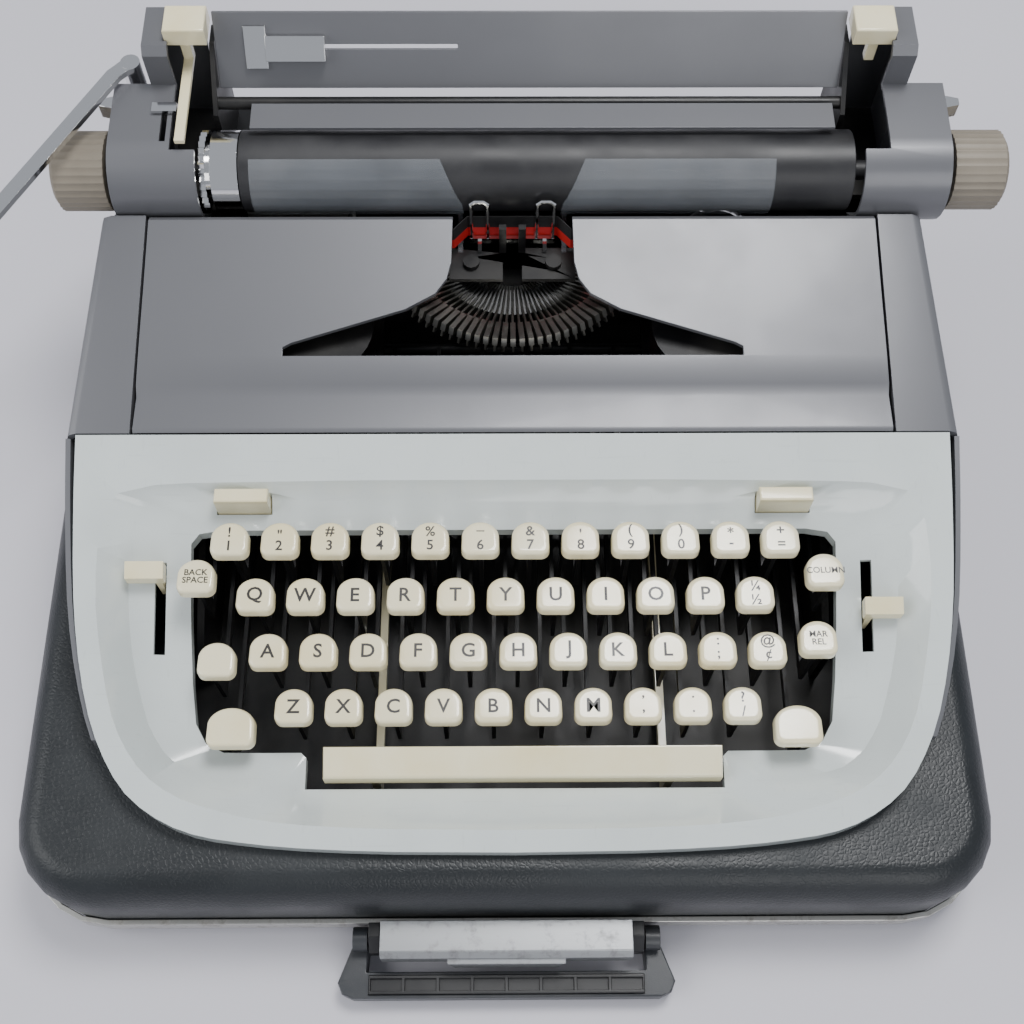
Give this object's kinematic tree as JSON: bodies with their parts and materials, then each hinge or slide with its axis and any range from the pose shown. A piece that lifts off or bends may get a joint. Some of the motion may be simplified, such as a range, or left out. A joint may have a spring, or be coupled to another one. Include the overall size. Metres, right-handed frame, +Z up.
{
  "type": "manual typewriter",
  "caption": "Manual portable typewriter in its lower carrying case, with four rows of keys, a hinged ribbon cover, type bars and a sliding carriage with platen, bail and levers.",
  "frame": {"origin": "middle of the base, on the surface that it stands on", "axes": "+X along the keyboard and the carriage to the typist's right, +Y towards the back of the machine, +Z up"},
  "size_m": [0.4052, 0.3704, 0.171],
  "materials": {
    "case_grain": "pebbled dark blue-grey covering",
    "case_metal": "bright band",
    "foot_rubber": "matt",
    "grip_grey": "dark grey",
    "black_plastic": "black",
    "grey_paint": "satin grey",
    "white_gloss": "cool white gloss",
    "key_cream": "cream",
    "frame_black": "black japan",
    "bright_steel": "bright",
    "chrome": "polished",
    "platen_rubber": "black",
    "knob_taupe": "taupe",
    "ribbon_cloth": "black and red cloth",
    "clear_plastic": "clear"
  },
  "bodies": {
    "machine": {"case_base": "case_grain", "case_trim": "case_metal", "rubber_foot_front_left": "foot_rubber", "rubber_foot_front_right": "foot_rubber", "rubber_foot_rear_left": "foot_rubber", "rubber_foot_rear_right": "foot_rubber", "handle_plate": "case_metal", "handle_lug_left": "black_plastic", "handle_lug_right": "black_plastic", "keyboard_surround": "white_gloss", "body_shell": "grey_paint", "main_frame": "frame_black", "type_segment": "frame_black", "type_bars": "bright_steel", "type_guide": "frame_black", "ribbon_vibrator": "chrome", "ribbon": "ribbon_cloth", "card_holder_left": "clear_plastic", "card_holder_right": "clear_plastic", "bell": "chrome"},
    "handle": {"handle_grip": "grip_grey", "handle_insert": "black_plastic"},
    "carriage": {"carriage_bed": "frame_black", "carriage_end_left": "grey_paint", "carriage_end_right": "grey_paint", "paper_table": "grey_paint"},
    "platen_group": {"platen": "platen_rubber", "ratchet_wheel": "chrome", "platen_knob_left": "knob_taupe", "platen_knob_right": "knob_taupe"},
    "ribbon_cover": {"ribbon_cover": "grey_paint"},
    "ribbon_spool_left": {"ribbon_spool_left": "frame_black"},
    "ribbon_spool_right": {"ribbon_spool_right": "frame_black"},
    "mainspring_drum": {"mainspring_drum": "bright_steel"},
    "h_type_bar": {"h_type_bar": "bright_steel"},
    "paper_guide": {"paper_guide": "chrome"},
    "paper_bail": {"paper_bail": "grey_paint"},
    "return_lever": {"return_lever": "chrome"},
    "line_space_lever": {"line_space_lever": "chrome"},
    "carriage_release_left": {"carriage_release_left": "chrome"},
    "carriage_release_right": {"carriage_release_right": "chrome"},
    "number_row_keys": {"number_row_keys": "key_cream"},
    "upper_row_keys": {"upper_row_keys": "key_cream"},
    "home_row_keys": {"home_row_keys": "key_cream"},
    "lower_row_keys": {"lower_row_keys": "key_cream"},
    "h_key": {"h_key": "key_cream"},
    "space_bar": {"space_bar": "key_cream"},
    "shift_keys": {"shift_keys": "key_cream"},
    "shift_lock": {"shift_lock": "key_cream"},
    "back_space_key": {"back_space_key": "key_cream"},
    "column_key": {"column_key": "key_cream"},
    "margin_release_key": {"margin_release_key": "key_cream"},
    "column_clear_key": {"column_clear_key": "key_cream"},
    "column_set_key": {"column_set_key": "key_cream"},
    "touch_lever": {"touch_lever": "key_cream"},
    "ribbon_selector": {"ribbon_selector": "key_cream"},
    "margin_key_left": {"margin_key_left": "key_cream"},
    "margin_key_right": {"margin_key_right": "key_cream"}
  },
  "joints": [
    {"name": "handle_fold", "type": "hinge", "parent": "machine", "child": "handle", "pos_m": [0.00315, -0.16355, 0.016], "axis": [-1, 0, 0], "range_deg": [0, 50]},
    {"name": "cover_hinge", "type": "hinge", "parent": "machine", "child": "ribbon_cover", "pos_m": [0.00315, 0.01655, 0.1022], "axis": [1, 0, 0], "range_deg": [0, 80]},
    {"name": "carriage_slide", "type": "slide", "parent": "machine", "child": "carriage", "axis": [1, 0, 0], "range_m": [-0.1172, 0.1028]},
    {"name": "drum_spin", "type": "hinge", "parent": "machine", "child": "mainspring_drum", "pos_m": [-0.09185, 0.14675, 0.062], "axis": [0, 0, 1], "range_deg": [-290, 250]},
    {"name": "platen_turn", "type": "hinge", "parent": "carriage", "child": "platen_group", "pos_m": [0.01035, 0.12475, 0.127], "axis": [1, 0, 0], "continuous": true},
    {"name": "return_swing", "type": "hinge", "parent": "carriage", "child": "return_lever", "pos_m": [-0.15065, 0.15875, 0.1515], "axis": [0, 0, 1], "range_deg": [0, 30], "stiffness_Nm_per_rad": 0.3, "springref_deg": -5.73},
    {"name": "line_space_set", "type": "slide", "parent": "carriage", "child": "line_space_lever", "axis": [0, -1, 0], "range_m": [0, 0.013]},
    {"name": "paper_guide_slide", "type": "slide", "parent": "carriage", "child": "paper_guide", "axis": [1, 0, 0], "range_m": [0, 0.05]},
    {"name": "bail_lift", "type": "hinge", "parent": "carriage", "child": "paper_bail", "pos_m": [0.01035, 0.14935, 0.1394], "axis": [-1, 0, 0], "range_deg": [0, 60]},
    {"name": "margin_left_press", "type": "slide", "parent": "carriage", "child": "margin_key_left", "axis": [0, 0, -1], "range_m": [0, 0.003], "stiffness_N_per_m": 300, "springref_m": -0.002},
    {"name": "margin_right_press", "type": "slide", "parent": "carriage", "child": "margin_key_right", "axis": [0, 0, -1], "range_m": [0, 0.003], "stiffness_N_per_m": 300, "springref_m": -0.002},
    {"name": "release_left_lift", "type": "hinge", "parent": "carriage", "child": "carriage_release_left", "pos_m": [-0.15755, 0.14675, 0.136], "axis": [1, 0, 0], "range_deg": [0, 15], "stiffness_Nm_per_rad": 0.02, "springref_deg": -11.46},
    {"name": "release_right_lift", "type": "hinge", "parent": "carriage", "child": "carriage_release_right", "pos_m": [0.17825, 0.14675, 0.136], "axis": [1, 0, 0], "range_deg": [0, 15], "stiffness_Nm_per_rad": 0.02, "springref_deg": -11.46},
    {"name": "number_row_press", "type": "hinge", "parent": "machine", "child": "number_row_keys", "pos_m": [0.00315, 0.07975, 0.062], "axis": [1, 0, 0], "range_deg": [0, 5.8], "stiffness_Nm_per_rad": 0.6, "springref_deg": -11.46},
    {"name": "upper_row_press", "type": "hinge", "parent": "machine", "child": "upper_row_keys", "pos_m": [0.00315, 0.07975, 0.054], "axis": [1, 0, 0], "range_deg": [0, 5], "stiffness_Nm_per_rad": 0.6, "springref_deg": -11.46},
    {"name": "home_row_press", "type": "hinge", "parent": "machine", "child": "home_row_keys", "pos_m": [0.00315, 0.07975, 0.046], "axis": [1, 0, 0], "range_deg": [0, 4.3], "stiffness_Nm_per_rad": 0.6, "springref_deg": -11.46},
    {"name": "lower_row_press", "type": "hinge", "parent": "machine", "child": "lower_row_keys", "pos_m": [0.00315, 0.07975, 0.038], "axis": [1, 0, 0], "range_deg": [0, 4], "stiffness_Nm_per_rad": 0.6, "springref_deg": -11.46},
    {"name": "h_key_press", "type": "hinge", "parent": "machine", "child": "h_key", "pos_m": [0.00315, 0.07975, 0.046], "axis": [1, 0, 0], "range_deg": [0, 4.3], "stiffness_Nm_per_rad": 0.1, "springref_deg": -11.46},
    {"name": "h_bar_swing", "type": "hinge", "parent": "machine", "child": "h_type_bar", "pos_m": [0.00315, 0.09255, 0.089], "axis": [1, 0, 0], "range_deg": [-78, 0]},
    {"name": "space_press", "type": "hinge", "parent": "machine", "child": "space_bar", "pos_m": [0.00315, 0.01475, 0.0235], "axis": [1, 0, 0], "range_deg": [0, 2.5], "stiffness_Nm_per_rad": 0.6, "springref_deg": -11.46},
    {"name": "shift_press", "type": "hinge", "parent": "machine", "child": "shift_keys", "pos_m": [0.00315, 0.06275, 0.031], "axis": [1, 0, 0], "range_deg": [0, 2.8], "stiffness_Nm_per_rad": 0.6, "springref_deg": -11.46},
    {"name": "lock_press", "type": "hinge", "parent": "machine", "child": "shift_lock", "pos_m": [-0.11385, 0.06275, 0.044], "axis": [1, 0, 0], "range_deg": [0, 3.4], "stiffness_Nm_per_rad": 0.15, "springref_deg": -11.46},
    {"name": "back_space_press", "type": "hinge", "parent": "machine", "child": "back_space_key", "pos_m": [-0.11835, 0.06275, 0.06], "axis": [1, 0, 0], "range_deg": [0, 4.3], "stiffness_Nm_per_rad": 0.15, "springref_deg": -11.46},
    {"name": "column_press", "type": "hinge", "parent": "machine", "child": "column_key", "pos_m": [0.12465, 0.06275, 0.06], "axis": [1, 0, 0], "range_deg": [0, 4.3], "stiffness_Nm_per_rad": 0.15, "springref_deg": -11.46},
    {"name": "margin_release_press", "type": "hinge", "parent": "machine", "child": "margin_release_key", "pos_m": [0.12015, 0.06275, 0.044], "axis": [1, 0, 0], "range_deg": [0, 3.4], "stiffness_Nm_per_rad": 0.15, "springref_deg": -11.46},
    {"name": "column_clear_press", "type": "slide", "parent": "machine", "child": "column_clear_key", "axis": [0, 0, -1], "range_m": [0, 0.003], "stiffness_N_per_m": 300, "springref_m": -0.002},
    {"name": "column_set_press", "type": "slide", "parent": "machine", "child": "column_set_key", "axis": [0, 0, -1], "range_m": [0, 0.003], "stiffness_N_per_m": 300, "springref_m": -0.002},
    {"name": "touch_slide", "type": "slide", "parent": "machine", "child": "touch_lever", "axis": [0, -0.9434, -0.3317], "range_m": [0, 0.02]},
    {"name": "selector_slide", "type": "slide", "parent": "machine", "child": "ribbon_selector", "axis": [0, -0.9434, -0.3317], "range_m": [-0.008, 0.008]},
    {"name": "spool_left_turn", "type": "hinge", "parent": "machine", "child": "ribbon_spool_left", "pos_m": [-0.07685, 0.06475, 0.0885], "axis": [0, 0, 1], "continuous": true},
    {"name": "spool_right_turn", "type": "hinge", "parent": "machine", "child": "ribbon_spool_right", "pos_m": [0.08315, 0.06475, 0.0885], "axis": [0, 0, 1], "continuous": true}
  ],
  "couplings": [
    {"joint": "h_bar_swing", "follows": "h_key_press", "ratio": -18},
    {"joint": "drum_spin", "follows": "carriage_slide", "rad_per_m": 41.667}
  ]
}
